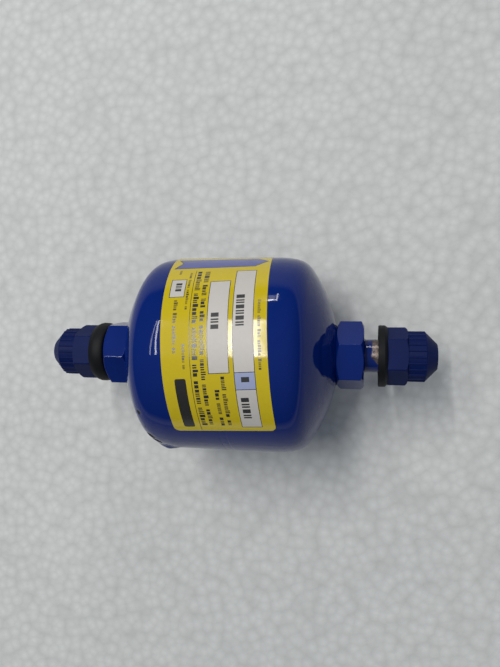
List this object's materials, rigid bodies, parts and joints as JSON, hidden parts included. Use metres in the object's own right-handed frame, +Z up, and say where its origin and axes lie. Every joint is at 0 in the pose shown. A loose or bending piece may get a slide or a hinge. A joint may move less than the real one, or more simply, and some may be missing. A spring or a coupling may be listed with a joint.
{
  "type": "refrigeration filter drier",
  "caption": "Blue cylindrical inline filter drier with domed ends, a hex-based flare connection at each end closed by a screwed plastic cap, and a yellow flow label.",
  "frame": {"origin": "centre of the drum, on its axis, midway between the two hexagons", "axes": "+X along the axis from inlet to outlet, the way the label's arrow points; +Z up, towards the label's side; the drum's round wall is centred on X"},
  "size_m": [0.1056, 0.052, 0.0521],
  "materials": {
    "drum_paint": "gloss deep blue powder coat",
    "cap_plastic": "semi-gloss dark blue moulding",
    "ring_rubber": "matt black",
    "label_film": "satin printed film",
    "plain_steel": "pressed sheet",
    "spring_steel": "drawn wire",
    "moulded_desiccant": "coarse moulded block",
    "polyester_felt": "white felt"
  },
  "bodies": {
    "drier": {"inlet_shell": "drum_paint", "outlet_shell": "drum_paint", "girth_weld": "drum_paint", "inlet_fitting": "drum_paint", "outlet_fitting": "drum_paint", "inlet_braze": "drum_paint", "outlet_braze": "drum_paint", "flow_label": "label_film", "inlet_distributor": "plain_steel", "core_spring": "spring_steel", "spring_plate": "plain_steel", "desiccant_core": "moulded_desiccant", "core_gasket": "polyester_felt", "filter_mat": "polyester_felt", "perforated_plate": "plain_steel", "outlet_strainer": "plain_steel"},
    "inlet_ring": {"inlet_cap_ring": "ring_rubber"},
    "inlet_screw_cap": {"inlet_cap": "cap_plastic", "inlet_cap_disc": "ring_rubber"},
    "outlet_ring": {"outlet_cap_ring": "ring_rubber"},
    "outlet_screw_cap": {"outlet_cap": "cap_plastic", "outlet_cap_disc": "ring_rubber"}
  },
  "joints": [
    {"name": "inlet_cap_travel", "type": "slide", "parent": "drier", "child": "inlet_ring", "axis": [-1, 0, 0], "range_m": [0, 0.01396]},
    {"name": "inlet_cap_turn", "type": "hinge", "parent": "inlet_ring", "child": "inlet_screw_cap", "pos_m": [-0.045, 0, 0], "axis": [-1, 0, 0], "range_deg": [0, 3960]},
    {"name": "outlet_cap_travel", "type": "slide", "parent": "drier", "child": "outlet_ring", "axis": [1, 0, 0], "range_m": [-0.00126, 0.01269]},
    {"name": "outlet_cap_turn", "type": "hinge", "parent": "outlet_ring", "child": "outlet_screw_cap", "pos_m": [0.045, 0, 0], "axis": [1, 0, 0], "range_deg": [-360, 3600]}
  ],
  "couplings": [
    {"joint": "inlet_cap_turn", "follows": "inlet_cap_travel", "rad_per_m": 4947.4},
    {"joint": "outlet_cap_turn", "follows": "outlet_cap_travel", "rad_per_m": 4947.4}
  ]
}
